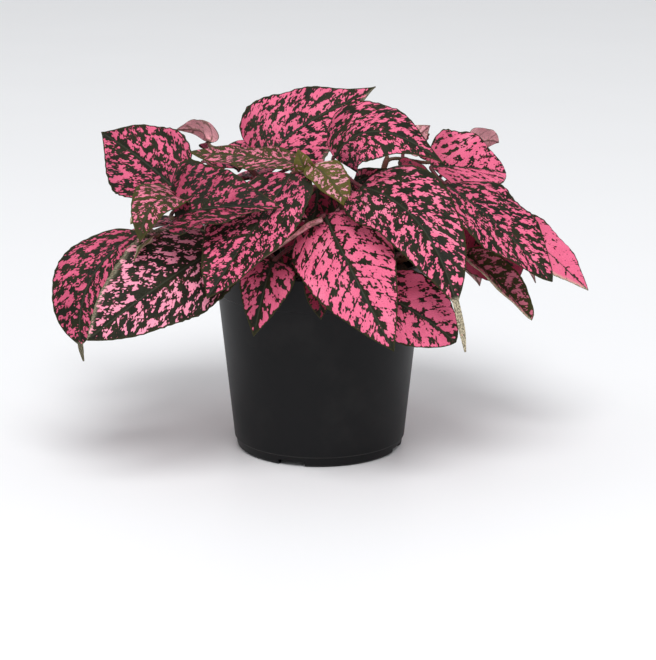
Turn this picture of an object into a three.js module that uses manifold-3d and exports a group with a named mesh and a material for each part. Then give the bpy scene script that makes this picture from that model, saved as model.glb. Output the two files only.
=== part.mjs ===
// A potted polka dot plant: a tapered nursery pot filled with soil, and eleven leafy stems that stand
// in holes in the soil. Every leafy stem is one grown piece, so its stem, petioles and leaves are one
// solid. Millimetres, +Z up, origin at the middle of the circle that the pot stands on, -Y to the front.
import * as THREE from "three";
import { mergeVertices } from "three/addons/utils/BufferGeometryUtils.js";
import Module from "manifold-3d";

const wasm = await Module();
wasm.setup();

// ---- driving dimensions ----
const pot = {
  height: 96,
  rimRadius: 52.5,
  wall: 1.2,
  footHeight: 5.3, // the narrower ring that the pot stands on
  footRadius: 39.6,
  wallRadiusLow: 42.2, // outside, just above the foot
  wallRadiusHigh: 49.8, // outside, just below the rim band
  bandHeight: 17, // the stepped-out band at the rim
  bandStep: 0.9,
  floorBottom: 3.6,
  floorTop: 5.2,
  sides: 44,
  drains: 4,
  drainWidth: 13.4,
  drainHeight: 2.8,
  drainTurn: -19.5, // degrees from the front to the first drain
};
const soil = { surface: 85, mound: 3, gap: 0.5, sides: 24, lump: 0.7 };
const stem = { radiusLow: 2.1, radiusHigh: 1.2, sides: 6, steps: 7, depth: 18, holeGap: 0.8 };
const blade = {
  thickness: 0.8,
  petioleRadius: 0.95,
  halfColumns: 2, // faces from the midrib to the margin
  rowLength: 9, // from one ring of the blade to the next
  scallop: 0.03, // share of the width that the toothed margin swings
  wave: 0.07, // share of the half width that the margin waves up and down
  broad: 0.5, // exponents of the outline, towards the base and the tip
  taper: 1,
  tailWidth: 0.1, // half width of a drawn-out tip, as a share of the blade's
};

// ---- the leafy stems ----
// foot: where it leaves the soil. path: the points that the stem passes, ending at its growing tip.
const stems = {
  leafy_stem_centre: { foot: [1, -9], path: [[-1, -14, 110], [-4, -21, 130], [-5, -25, 138]] },
  leafy_stem_left: { foot: [-19, -6], path: [[-38, -14, 106], [-54, -26, 119], [-62, -36, 129]] },
  leafy_stem_far_left: { foot: [-27, -16], path: [[-46, -28, 102], [-62, -32, 108], [-72, -30, 110]] },
  leafy_stem_back_left: { foot: [-12, 12], path: [[-20, 14, 116], [-34, 14, 136], [-44, 14, 145]] },
  leafy_stem_centre_right: { foot: [14, -6], path: [[12, -9, 116], [9, -12, 136], [7, -12, 144]] },
  leafy_stem_right: { foot: [24, 2], path: [[38, 0, 112], [50, -8, 127], [57, -12, 136]] },
  leafy_stem_right_low: { foot: [27, -15], path: [[44, -24, 101], [58, -28, 106], [66, -27, 112]] },
  leafy_stem_front: { foot: [-3, -25], path: [[-4, -32, 104], [-2, -36, 114], [-1, -37, 120]] },
  leafy_stem_back_right: { foot: [15, 20], path: [[22, 28, 108], [30, 34, 126], [34, 35, 138]] },
  leafy_stem_back: { foot: [-4, 25], path: [[-6, 34, 108], [-9, 38, 128], [-10, 36, 141]] },
  leafy_stem_far_back_left: { foot: [-23, 15], path: [[-34, 24, 98], [-50, 32, 110], [-60, 36, 124]] },
};

// ---- the leaves ----
// from: how far up its stem the petiole leaves, 0 at the soil and 1 at the growing tip.
// base, mid, tip: the midrib. face: the way the upper side looks at mid. fold: degrees that each half
// rises from flat. cup: how far the margins sink, as a share of the half width. hook: millimetres that
// the tip turns up. tail: the share of the length that is a narrow drawn-out tip. broad and taper: how
// slowly the outline opens at the base and closes at the tip, small for a full leaf. arch: millimetres
// that the petiole is lifted on its way.
const leaves = {
  leafy_stem_centre: [
    { from: 0.97, base: [-8, -24, 146], mid: [-32, -14, 147], tip: [-62, -6, 148],
      face: [0, -0.2, 0.97], width: 28, taper: 0.7 },
    { from: 0.99, base: [-3, -30, 146], mid: [6, -40, 140], tip: [14, -45, 128],
      face: [0.35, -0.75, 0.6], width: 20, fold: 10 },
    { from: 0.8, base: [-13, -31, 142], mid: [-33, -70, 119], tip: [-50, -92, 97],
      face: [-0.3, -0.6, 0.74], width: 46, fold: 10 },
    { from: 1, base: [-5, -29, 142], mid: [-8, -30, 147], tip: [-10, -26, 153],
      face: [-0.6, -0.7, 0.3], width: 11 },
    { from: 0.75, base: [-1, -22, 133], mid: [-1, -27, 127], tip: [-4, -31, 118],
      face: [0, -0.9, 0.4], width: 22 },
    { from: 0.5, base: [-1, 4, 113], mid: [-5, 16, 114], tip: [-10, 29, 106],
      face: [0, 0.1, 1], width: 24 },
  ],
  leafy_stem_left: [
    { from: 0.96, base: [-69, -12, 131], mid: [-86, 5, 142], tip: [-107, 20, 153],
      face: [0, -0.85, 0.5], width: 44, fold: 8, taper: 1.1, broad: 0.65 },
    { from: 0.97, base: [-66, -56, 126.5], mid: [-46, -59, 131.5], tip: [-17, -60, 132],
      face: [0, -0.54, 0.84], width: 50, fold: 25, broad: 0.3 },
    { from: 1, base: [-64, -46, 134], mid: [-75, -66, 135], tip: [-81, -75, 119],
      face: [-0.25, -0.8, 0.55], width: 24, fold: 8 },
    { from: 0.4, base: [-56, -2, 108], mid: [-74, -1, 108], tip: [-92, 2, 98],
      face: [-0.2, 0, 0.95], width: 32, fold: 6 },
  ],
  leafy_stem_far_left: [
    { from: 0.97, base: [-86, -26, 113], mid: [-108.5, -46, 91], tip: [-111, -50, 56],
      face: [-0.35, -0.8, 0.5], width: 37, fold: 8, tail: 0.1, broad: 0.75, taper: 0.8 },
    { from: 0.45, base: [-44, -42, 111], mid: [-73, -72, 98], tip: [-105, -86, 76],
      face: [-0.15, -0.85, 0.5], width: 49, fold: 6, taper: 0.9 },
    { from: 0.8, base: [-77, -61, 118], mid: [-81, -68, 115.5], tip: [-84, -74, 110],
      face: [-0.2, 0.5, 0.8], width: 10 },
    { from: 0.9, base: [-84, -18, 116], mid: [-87, -20, 118], tip: [-90, -22, 116],
      face: [0, -0.5, 0.8], width: 8 },
    { from: 0.35, base: [-58, -20, 95], mid: [-77, -27, 91], tip: [-92, -34, 75],
      face: [-0.4, -0.2, 0.9], width: 32, fold: 6 },
  ],
  leafy_stem_back_left: [
    { from: 0.8, base: [-26, 8, 142], mid: [-4, 18, 159], tip: [28, 25, 172],
      face: [-0.1, -0.75, 0.65], width: 51, fold: 5, broad: 0.35, hook: 5, taper: 1.15 },
    { from: 0.98, base: [-54, 15, 148.5], mid: [-58, 22, 153.5], tip: [-71, 30, 152.5],
      face: [0.1, 0.85, 0.6], width: 18, broad: 0.4 },
    { from: 0.7, base: [-27, 24, 139], mid: [-37, 32, 143], tip: [-48, 36, 142],
      face: [0, -0.3, 0.95], width: 24 },
    { from: 0.4, base: [-32, 12, 118], mid: [-50, 16, 119], tip: [-70, 22, 110],
      face: [0, 0, 1], width: 32, fold: 6 },
    { from: 0.9, base: [-40, 30, 133], mid: [-46, 46, 133], tip: [-52, 64, 125],
      face: [-0.1, 0.3, 0.95], width: 32, fold: 6 },
    { from: 0.35, base: [-27, 31, 114], mid: [-39, 44, 115], tip: [-53, 57, 106],
      face: [-0.1, 0.2, 1], width: 26 },
  ],
  leafy_stem_centre_right: [
    { from: 0.96, base: [7, -14, 147], mid: [28, -24, 161], tip: [59, -34, 147],
      face: [0.15, -0.62, 0.77], width: 44, cup: 0.06, broad: 0.6, taper: 1.35 },
    { from: 0.85, base: [20, -36, 137], mid: [50, -74, 121], tip: [66, -95, 73],
      face: [0.25, -0.85, 0.5], width: 44, fold: 6, tail: 0.18, broad: 0.32, taper: 0.8 },
    { from: 0.75, base: [16, -6, 133], mid: [22, -10, 136], tip: [32, -12, 141],
      face: [0, -0.8, 0.6], width: 12 },
    { from: 0.6, base: [11, 5, 125], mid: [16, 15, 126], tip: [22, 28, 120],
      face: [0.1, 0.1, 1], width: 28 },
    { from: 0.3, base: [20, -20, 112], mid: [34, -30, 112], tip: [48, -40, 104],
      face: [0.2, -0.3, 0.9], width: 28, fold: 6 },
  ],
  leafy_stem_right: [
    { from: 0.98, base: [54, -8, 141], mid: [72, 0, 139], tip: [91, 8, 135],
      face: [0.1, -0.6, 0.8], width: 42, fold: 16, taper: 0.7 },
    { from: 0.93, base: [60, -26, 136], mid: [83, -46, 121], tip: [108, -60, 97],
      face: [0.35, -0.5, 0.8], width: 43, fold: 6, taper: 0.8 },
    { from: 0.8, base: [42, 25, 143], mid: [47, 30, 148], tip: [55, 34, 154],
      face: [0.2, 0.9, 0.3], width: 16 },
    { from: 0.9, base: [68, 22, 139], mid: [80, 28, 147], tip: [89, 30, 146],
      face: [-0.1, 0.75, 0.6], width: 22 },
    { from: 0.6, base: [92, 8, 113], mid: [114, 5, 94.5], tip: [132, 0, 78],
      face: [0.45, -0.6, 0.66], width: 27, fold: 6 },
    { from: 0.7, base: [39, 2, 139], mid: [48, 6, 136], tip: [57, 8, 130],
      face: [0, -0.5, 0.85], width: 16 },
    { from: 0.45, base: [70, 22, 106], mid: [92, 32, 98], tip: [110, 40, 72],
      face: [0.5, 0.1, 0.86], width: 42, fold: 6 },
    { from: 0.75, base: [62, 12, 124], mid: [79, 18, 124], tip: [96, 23, 115],
      face: [0.1, 0, 1], width: 32, fold: 6 },
    { from: 0.4, base: [56, 0, 101], mid: [76, -8, 99], tip: [94, -16, 84],
      face: [0.25, -0.1, 0.95], width: 34, fold: 6 },
    { from: 0.25, base: [28, 10, 104], mid: [37, 21, 107], tip: [45, 34, 101],
      face: [0.1, 0.1, 1], width: 24 },
  ],
  leafy_stem_right_low: [
    { from: 0.97, base: [65, -22, 121], mid: [81, -28, 107], tip: [94, -30, 90],
      face: [-0.3, -0.8, 0.5], width: 34, fold: 8, taper: 0.7 },
    { from: 0.9, base: [68, -36, 105], mid: [83, -44, 94], tip: [100, -50, 76],
      face: [0.3, -0.7, 0.65], width: 20, fold: 40, taper: 0.6 },
    { from: 0.3, base: [25, -57, 92], mid: [44, -69, 85], tip: [63, -75, 72],
      face: [0.1, -0.95, 0.3], width: 34, fold: 5, taper: 0.7, arch: 6 },
  ],
  leafy_stem_front: [
    { from: 0.95, base: [3, -40, 124], mid: [16, -75, 104], tip: [34, -94, 73],
      face: [-0.05, -0.93, 0.35], width: 46, fold: 6 },
    { from: 0.5, base: [-21, -54, 105], mid: [-25, -66, 95], tip: [-30, -72, 74],
      face: [-0.1, -0.95, 0.28], width: 26, fold: 10 },
    { from: 0.3, base: [5, -50, 104], mid: [1, -63, 94], tip: [1, -68, 81],
      face: [-0.3, -0.9, 0.3], width: 18 },
    { from: 0.9, base: [1, -50, 125], mid: [-15, -60, 116], tip: [-33, -65, 104],
      face: [-0.5, 0.3, 0.8], width: 12, fold: 8 },
    { from: 0.75, base: [-2, -32, 117], mid: [-9, -39, 109], tip: [-15, -46, 98],
      face: [-0.2, -0.8, 0.55], width: 24 },
  ],
  leafy_stem_back_right: [
    { from: 0.97, base: [30, 42, 144], mid: [37, 64, 142], tip: [44, 90, 131],
      face: [0.05, 0.1, 0.99], width: 42, fold: 6 },
    { from: 0.9, base: [56, 42, 134], mid: [73, 60, 132], tip: [87, 80, 122],
      face: [0.1, 0.05, 0.99], width: 38, fold: 6 },
    { from: 0.45, base: [38, 54, 111], mid: [50, 80, 105], tip: [58, 97, 80],
      face: [0.3, 0.5, 0.82], width: 42, fold: 6 },
    { from: 0.55, base: [50, 42, 112], mid: [75, 58, 109], tip: [97, 76, 88],
      face: [0.4, 0.2, 0.86], width: 42, fold: 6 },
    { from: 0.35, base: [22, 54, 108], mid: [18, 80, 103], tip: [21, 98, 78],
      face: [0, 0.5, 0.85], width: 40, fold: 6 },
    { from: 0.2, base: [46, 46, 98], mid: [68, 62, 88], tip: [84, 74, 62],
      face: [0.4, 0.5, 0.75], width: 40, fold: 6 },
    { from: 0.6, base: [44, 22, 119], mid: [58, 35, 121], tip: [74, 49, 116],
      face: [0.1, 0.1, 1], width: 30, fold: 6 },
    { from: 0.75, base: [16, 44, 122], mid: [16, 62, 120], tip: [17, 82, 108],
      face: [0, 0.3, 0.95], width: 34, fold: 6 },
    { from: 0.7, base: [62, 54, 118], mid: [77, 67, 115], tip: [92, 82, 100],
      face: [0.2, 0.3, 0.9], width: 32, fold: 6 },
  ],
  leafy_stem_back: [
    { from: 0.97, base: [-10, 42, 146], mid: [-12, 66, 143], tip: [-15, 94, 133],
      face: [0, 0.1, 0.99], width: 42, fold: 6 },
    { from: 0.75, base: [-28, 44, 126], mid: [-45, 62, 122], tip: [-59, 84, 111],
      face: [-0.2, 0.1, 0.97], width: 40, fold: 6 },
    { from: 0.35, base: [-14, 56, 109], mid: [-26, 80, 104], tip: [-34, 98, 80],
      face: [-0.15, 0.5, 0.85], width: 42, fold: 6 },
    { from: 0.2, base: [2, 54, 101], mid: [0, 76, 93], tip: [-4, 94, 68],
      face: [0.05, 0.6, 0.8], width: 40, fold: 6 },
    { from: 0.25, base: [-24, 48, 103], mid: [-46, 67, 98], tip: [-60, 87, 74],
      face: [-0.4, 0.4, 0.82], width: 40, fold: 6 },
    { from: 0.55, base: [-10, 46, 117], mid: [-12, 61, 118], tip: [-14, 76, 111],
      face: [0, 0.2, 1], width: 26 },
  ],
  leafy_stem_far_back_left: [
    { from: 0.97, base: [-70, 42, 129], mid: [-88, 60, 127], tip: [-101, 80, 115],
      face: [-0.15, 0.1, 0.98], width: 40, fold: 6 },
    { from: 0.4, base: [-66, 38, 104], mid: [-95, 45, 97], tip: [-129, 50, 78],
      face: [-0.35, 0.15, 0.92], width: 40, fold: 6 },
    { from: 0.3, base: [-56, 40, 97], mid: [-79, 53, 87], tip: [-99, 66, 63],
      face: [-0.4, 0.5, 0.75], width: 40, fold: 6, arch: 4 },
    { from: 0.3, base: [-62, 22, 98], mid: [-88, 14, 92], tip: [-110, 6, 68],
      face: [-0.5, -0.1, 0.85], width: 38, fold: 6 },
  ],
};

// ---- solids ----
function solidOf(geometry) {
  const plain = geometry.clone();
  plain.deleteAttribute("normal");
  plain.deleteAttribute("uv");
  const merged = mergeVertices(plain, 1e-4);
  return new wasm.Manifold(
    new wasm.Mesh({
      numProp: 3,
      vertProperties: new Float32Array(merged.attributes.position.array),
      triVerts: new Uint32Array(merged.index.array),
    }),
  );
}

function geometryOf(solid) {
  const mesh = solid.getMesh();
  const geometry = new THREE.BufferGeometry();
  geometry.setAttribute("position", new THREE.BufferAttribute(mesh.vertProperties, 3));
  geometry.setIndex(new THREE.BufferAttribute(mesh.triVerts, 1));
  geometry.computeVertexNormals();
  return geometry;
}

// A profile of [radius, height] points turned about the Z axis.
function turned(profile, sides) {
  const points = profile.map(([radius, height]) => new THREE.Vector2(radius, height));
  return new THREE.LatheGeometry(points, sides).rotateX(Math.PI / 2);
}

// A closed skin through rings of equally many points, with flat ends.
function loft(rings) {
  const count = rings[0].length;
  const positions = rings.flat().flatMap((p) => [p.x, p.y, p.z]);
  const index = [];
  for (let row = 0; row + 1 < rings.length; row++) {
    for (let k = 0; k < count; k++) {
      const a = row * count + k;
      const b = row * count + ((k + 1) % count);
      index.push(a, b, b + count, a, b + count, a + count);
    }
  }
  const last = (rings.length - 1) * count;
  for (let k = 1; k + 1 < count; k++) {
    index.push(0, k + 1, k);
    index.push(last, last + k, last + k + 1);
  }
  const geometry = new THREE.BufferGeometry();
  geometry.setAttribute("position", new THREE.Float32BufferAttribute(positions, 3));
  geometry.setIndex(index);
  return geometry;
}

const vector = ([x, y, z]) => new THREE.Vector3(x, y, z);
const crossOf = (a, b) => new THREE.Vector3().crossVectors(a, b).normalize();

// ---- pot and soil ----
const innerHigh = pot.wallRadiusHigh - pot.wall;
const innerLow = pot.wallRadiusLow - pot.wall;
const bandFoot = pot.height - pot.bandHeight;

function makePot() {
  const body = solidOf(
    turned(
      [
        [0, pot.floorBottom],
        [pot.footRadius - 2.2, pot.floorBottom],
        [pot.footRadius - 1.6, 0],
        [pot.footRadius, 0],
        [pot.footRadius + 1.3, 1],
        [pot.wallRadiusLow - 0.5, pot.footHeight - 0.6],
        [pot.wallRadiusLow, pot.footHeight],
        [pot.wallRadiusHigh, bandFoot],
        [pot.wallRadiusHigh + pot.bandStep, bandFoot + 0.6],
        [pot.rimRadius - 0.2, pot.height - 2.4],
        [pot.rimRadius, pot.height - 0.8],
        [pot.rimRadius - 0.5, pot.height],
        [pot.rimRadius - 1.5, pot.height],
        [innerHigh, bandFoot],
        [innerLow, pot.floorTop],
        [0, pot.floorTop],
      ],
      pot.sides,
    ),
  );
  const cuts = [];
  for (let k = 0; k < pot.drains; k++) {
    const turn = THREE.MathUtils.degToRad(pot.drainTurn - 90 + (360 / pot.drains) * k);
    const notch = new THREE.BoxGeometry(12, pot.drainWidth, 2 * pot.drainHeight);
    cuts.push(solidOf(notch.translate(pot.footRadius, 0, 0).rotateZ(turn)));
    const slot = new THREE.BoxGeometry(4, pot.drainWidth - 4, 4);
    cuts.push(solidOf(slot.translate(pot.footRadius - 5, 0, pot.floorTop - 1).rotateZ(turn)));
  }
  return cuts.reduce((left, cut) => left.subtract(cut), body);
}

// The height of the soil, crowned in the middle and lumpy.
function soilHeight(x, y) {
  const share = Math.hypot(x, y) / innerHigh;
  const lumps = Math.sin(0.31 * x + 1.3) * Math.cos(0.27 * y) + 0.6 * Math.sin(0.53 * y - 0.4 * x);
  return soil.surface + soil.mound * (1 - share * share) + soil.lump * lumps;
}

function makeSoil(feet) {
  const flare = (innerHigh - innerLow) / (bandFoot - pot.floorTop);
  const wallAt = (z) => innerLow + flare * (z - pot.floorTop);
  const low = pot.floorTop + soil.gap;
  const edge = wallAt(bandFoot) - soil.gap;
  const rings = [0.98, 0.82, 0.62, 0.4, 0.2].map((share) => [edge * share, soil.surface]);
  const outside = [[0, low], [wallAt(low) - soil.gap, low], [edge, bandFoot], [edge, soil.surface - 1]];
  const bulk = turned([...outside, ...rings, [0, soil.surface]], soil.sides);
  const places = bulk.attributes.position;
  for (let i = 0; i < places.count; i++) {
    if (places.getZ(i) > soil.surface - 0.5) {
      places.setZ(i, soilHeight(places.getX(i), places.getY(i)));
    }
  }
  return feet.reduce((left, [x, y]) => left.subtract(stemHole(x, y)), solidOf(bulk));
}

function stemHole(x, y) {
  const radius = stem.radiusLow + stem.holeGap;
  const depth = stem.depth + stem.holeGap;
  const hole = new THREE.CylinderGeometry(radius, radius, depth + 10, 8).rotateX(Math.PI / 2);
  return solidOf(hole.translate(x, y, soilHeight(x, y) - depth + (depth + 10) / 2));
}

// ---- stems and leaves ----
function stemCurve({ foot: [x, y], path }) {
  const ground = soilHeight(x, y);
  const points = [[x, y, ground - stem.depth], [x, y, ground - 4], [x, y, ground + 3], ...path];
  return new THREE.CatmullRomCurve3(points.map(vector), false, "centripetal");
}

// The curve's parameter at a share of the stem's height above the soil.
const soilShare = 0.34;
const alongStem = (share) => soilShare + (1 - soilShare) * share;

function makeStem(curve) {
  const rings = [];
  let side = new THREE.Vector3(1, 0, 0);
  for (let k = 0; k <= stem.steps; k++) {
    const t = k / stem.steps;
    const along = curve.getTangent(t);
    side = side.addScaledVector(along, -side.dot(along)).normalize();
    const across = crossOf(along, side);
    const radius = THREE.MathUtils.lerp(stem.radiusLow, stem.radiusHigh, t * t);
    const centre = curve.getPoint(t);
    rings.push(circle(centre, side, across, radius, stem.sides));
  }
  return loft(rings);
}

function circle(centre, right, up, radius, sides) {
  return Array.from({ length: sides }, (_, k) => {
    const turn = (2 * Math.PI * k) / sides;
    const point = centre.clone().addScaledVector(right, radius * Math.cos(turn));
    return point.addScaledVector(up, radius * Math.sin(turn));
  });
}

// Half of the blade's width at a share v of its length, as a share of its greatest half width.
function outline(v, { tail = 0, broad: a = blade.broad, taper: b = blade.taper }) {
  const widest = a / (a + b);
  const share = Math.min(v / (1 - tail), 1);
  const ovate = (share / widest) ** a * ((1 - share) / (1 - widest)) ** b;
  const drawnOut = (tail ? blade.tailWidth : 0.03) * Math.min(1, (1 - v) / 0.1 + 0.25);
  return Math.max(ovate, drawnOut);
}

// The point of the midrib at v, with the ways along it, to its right and up from its upper face.
function midrib({ base, mid, tip, face, hook = 0 }, v) {
  const [start, end] = [vector(base), vector(tip)];
  const pull = vector(mid).multiplyScalar(2).addScaledVector(start, -0.5).addScaledVector(end, -0.5);
  const curve = new THREE.QuadraticBezierCurve3(start, pull, end);
  const along = curve.getTangent(v);
  const right = crossOf(along, vector(face));
  const up = crossOf(right, along);
  const turnedUp = Math.max(0, (v - 0.7) / 0.3) ** 2;
  return { point: curve.getPoint(v).addScaledVector(up, hook * turnedUp), along, right, up };
}

// One ring of the blade: its upper face from left to right, then its lower face back.
function bladeRing(leaf, v, row) {
  const { fold = 0, cup = 0, wave = blade.wave, width } = leaf;
  const { point, right, up } = midrib(leaf, v);
  const tooth = 1 + blade.scallop * (row % 2 ? 1 : -1);
  const half = (width / 2) * outline(v, leaf) * tooth;
  const angle = THREE.MathUtils.degToRad(fold);
  const columns = blade.halfColumns;
  const upper = [];
  const lower = [];
  for (let k = -columns; k <= columns; k++) {
    const u = k / columns;
    const rise = Math.abs(u) * Math.sin(angle) - cup * u * u;
    const ripple = wave * u * u * Math.sin(15 * v + 2 * u);
    const middle = point.clone().addScaledVector(right, u * half * Math.cos(angle));
    middle.addScaledVector(up, half * (rise + ripple));
    const normal = up.clone().addScaledVector(right, -Math.sign(u) * Math.tan(angle)).normalize();
    upper.push(middle.clone().addScaledVector(normal, blade.thickness / 2));
    lower.unshift(middle.clone().addScaledVector(normal, -blade.thickness / 2));
  }
  return [...upper, ...lower];
}

// A blade has a ring for every so many millimetres of its midrib.
function rowsOf({ base, mid, tip }) {
  const long = vector(base).distanceTo(vector(mid)) + vector(mid).distanceTo(vector(tip));
  return THREE.MathUtils.clamp(Math.round(long / blade.rowLength), 5, 10);
}

// A petiole that leaves the stem and grows into a blade, as one skin.
function makeLeaf(leaf, curve) {
  const { from, base, arch = 0 } = leaf;
  const foot = midrib(leaf, 0);
  const root = curve.getPoint(alongStem(from));
  const reach = root.distanceTo(vector(base));
  const rise = curve.getTangent(alongStem(from)).multiplyScalar(0.3 * reach);
  const lift = new THREE.Vector3(0, 0, arch);
  const petiole = new THREE.CubicBezierCurve3(
    root,
    root.clone().add(rise).add(lift),
    vector(base).addScaledVector(foot.along, -0.35 * reach).add(lift),
    vector(base),
  );
  const sides = 4 * blade.halfColumns + 2;
  const rings = [];
  let right = foot.right;
  for (const t of reach > 20 ? [1, 0.66, 0.33, 0] : [1, 0.5, 0]) {
    const along = t ? petiole.getTangent(t) : petiole.getPoint(0.33).sub(root).normalize();
    right = right.clone().addScaledVector(along, -right.dot(along)).normalize();
    const up = crossOf(right, along);
    const left = right.clone().negate();
    rings.unshift(circle(petiole.getPoint(t), left, up, blade.petioleRadius, sides));
  }
  const rows = rowsOf(leaf);
  for (let row = 1; row <= rows; row++) {
    const v = row === rows ? 0.995 : (row / rows) ** 1.15;
    rings.push(bladeRing(leaf, v, row));
  }
  return loft(rings);
}

function makeLeafyStem(name) {
  const curve = stemCurve(stems[name]);
  const parts = [makeStem(curve), ...leaves[name].map((leaf) => makeLeaf(leaf, curve))];
  const joined = parts.map(solidOf).reduce((left, next) => left.add(next));
  // The greatest shell is the whole of it; others are specks where two skins graze each other.
  return joined.decompose().sort((left, right) => right.volume() - left.volume())[0];
}

// ---- materials and nodes ----
const plastic = new THREE.MeshStandardMaterial({ color: 0x232326, roughness: 0.5, metalness: 0 });
const peat = new THREE.MeshStandardMaterial({ color: 0x2c2018, roughness: 1, metalness: 0 });
const foliage = new THREE.MeshStandardMaterial({ color: 0xc4456f, roughness: 0.6, metalness: 0 });

const plant = new THREE.Group();
function addNode(name, solid, material) {
  const mesh = new THREE.Mesh(geometryOf(solid), material);
  mesh.name = name;
  plant.add(mesh);
}

addNode("pot", makePot(), plastic);
addNode("soil", makeSoil(Object.values(stems).map(({ foot }) => foot)), peat);
for (const name of Object.keys(stems)) {
  addNode(name, makeLeafyStem(name), foliage);
}

export default plant;
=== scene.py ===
import math

import bpy
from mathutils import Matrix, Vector


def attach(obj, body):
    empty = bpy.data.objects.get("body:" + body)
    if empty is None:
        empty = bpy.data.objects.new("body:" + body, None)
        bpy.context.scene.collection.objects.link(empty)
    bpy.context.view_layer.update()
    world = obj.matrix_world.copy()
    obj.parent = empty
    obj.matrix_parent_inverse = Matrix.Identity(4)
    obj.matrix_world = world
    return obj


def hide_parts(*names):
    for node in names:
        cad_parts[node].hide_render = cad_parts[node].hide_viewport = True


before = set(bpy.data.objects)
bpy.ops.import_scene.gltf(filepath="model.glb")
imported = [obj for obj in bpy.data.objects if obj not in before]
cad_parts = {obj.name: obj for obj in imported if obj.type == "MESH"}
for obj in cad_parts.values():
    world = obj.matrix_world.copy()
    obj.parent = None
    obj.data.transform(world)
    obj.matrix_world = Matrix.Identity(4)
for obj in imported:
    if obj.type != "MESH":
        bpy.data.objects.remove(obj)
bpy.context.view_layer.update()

# A potted polka dot plant. The tables are in millimetres, and the scene is in metres.
mm = 0.001
scene = bpy.context.scene


# Node trees are written as expressions.
def operators(operation):  # the operator and its reflected form
    def plain(wire, value):
        return wire.graph.maths(operation, wire, value)

    def reflected(wire, value):
        return wire.graph.maths(operation, value, wire)

    return plain, reflected


class Wire:  # a node's output; arithmetic on it adds Math and Vector Math nodes
    def __init__(self, graph, socket):
        self.graph = graph
        self.socket = socket

    def __getitem__(self, name):  # another output of the same node
        return Wire(self.graph, self.socket.node.outputs[name])

    def __neg__(self):
        return self * -1.0

    __add__, __radd__ = operators("ADD")
    __sub__, __rsub__ = operators("SUBTRACT")
    __mul__, __rmul__ = operators("MULTIPLY")
    __truediv__, __rtruediv__ = operators("DIVIDE")


def isWide(value):  # a vector or a colour, not a number
    if isinstance(value, Wire):
        return value.socket.type in ("VECTOR", "RGBA")
    return isinstance(value, tuple)


def named(operation):  # a method for one kind of maths
    return lambda graph, *values: graph.maths(operation, *values)


class Graph:  # a node tree, with one way to make a node
    def __init__(self, tree):
        self.tree = tree

    def add(self, kind, settings=None, sockets=None, out=0):
        node = self.tree.nodes.new(kind)
        for name, value in (settings or {}).items():
            setattr(node, name, value)
        for name, value in (sockets or {}).items():
            self.feed(node.inputs[name], value)
        return Wire(self, node.outputs[out]) if out is not None else None

    def feed(self, socket, value):
        if isinstance(value, Wire):
            self.tree.links.new(value.socket, socket)
        else:
            socket.default_value = value

    def maths(self, operation, *values):
        wide = [value for value in values if isWide(value)]
        if not wide:
            return self.add("ShaderNodeMath", {"operation": operation}, dict(enumerate(values)))
        if operation == "MULTIPLY" and len(wide) == 1:
            factor = values[1] if isWide(values[0]) else values[0]
            return self.add("ShaderNodeVectorMath", {"operation": "SCALE"}, {0: wide[0], "Scale": factor})
        out = "Value" if operation == "LENGTH" else "Vector"
        return self.add("ShaderNodeVectorMath", {"operation": operation}, dict(enumerate(values)), out)

    power, sine, cosine = named("POWER"), named("SINE"), named("COSINE")
    greatest, least, size = named("MAXIMUM"), named("MINIMUM"), named("ABSOLUTE")
    sign, unit, cross = named("SIGN"), named("NORMALIZE"), named("CROSS_PRODUCT")
    above = named("GREATER_THAN")

    def bell(self, value, width):  # 1 at value 0, falling away to nothing past the width
        share = value * (1.0 / width)
        return self.maths("EXPONENT", -(share * share))

    def ramp(self, value, low, high):  # 0 below low and 1 above high, smoothly
        sockets = {"Value": value, "From Min": low, "From Max": high}
        return self.add("ShaderNodeMapRange", {"interpolation_type": "SMOOTHSTEP"}, sockets)

    def mix(self, factor, first, second):  # two colours
        return self.add("ShaderNodeMix", {"data_type": "RGBA"}, {0: factor, 6: first, 7: second}, 2)

    def noise(self, place, scale, detail=2.0, roughness=0.5, out=0):
        sockets = {"Vector": place, "Scale": scale, "Detail": detail, "Roughness": roughness}
        return self.add("ShaderNodeTexNoise", None, sockets, out)

    def bodyPlace(self):  # for a material: where the point is on its object
        return self.add("ShaderNodeTexCoord", None, None, "Object")

    def place(self):  # for a shape: where its points are
        return self.add("GeometryNodeInputPosition")

    def vector(self, x, y, z):
        return self.add("ShaderNodeCombineXYZ", None, {0: x, 1: y, 2: z})

    def parts(self, vector):  # its x, y and z
        split = self.add("ShaderNodeSeparateXYZ", None, {0: vector})
        return split, split["Y"], split["Z"]


def srgb(red, green, blue):  # a screen colour of 0 to 255 as the renderer's linear one
    def linear(level):
        share = level / 255
        return share / 12.92 if share <= 0.04045 else ((share + 0.055) / 1.055) ** 2.4
    return (linear(red), linear(green), linear(blue), 1.0)


def newMaterial(name, specular):
    material = bpy.data.materials.new(name)
    material.use_nodes = True
    shader = material.node_tree.nodes["Principled BSDF"]
    shader.inputs["Specular IOR Level"].default_value = specular
    return material, Graph(material.node_tree), shader


def paint(graph, shader, colour, roughness):
    graph.feed(shader.inputs["Base Color"], colour)
    graph.feed(shader.inputs["Roughness"], roughness)


def emboss(graph, shader, height, strength, depth):  # depth in millimetres
    sockets = {"Strength": strength, "Distance": depth * mm, "Height": height}
    graph.feed(shader.inputs["Normal"], graph.add("ShaderNodeBump", None, sockets))


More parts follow.
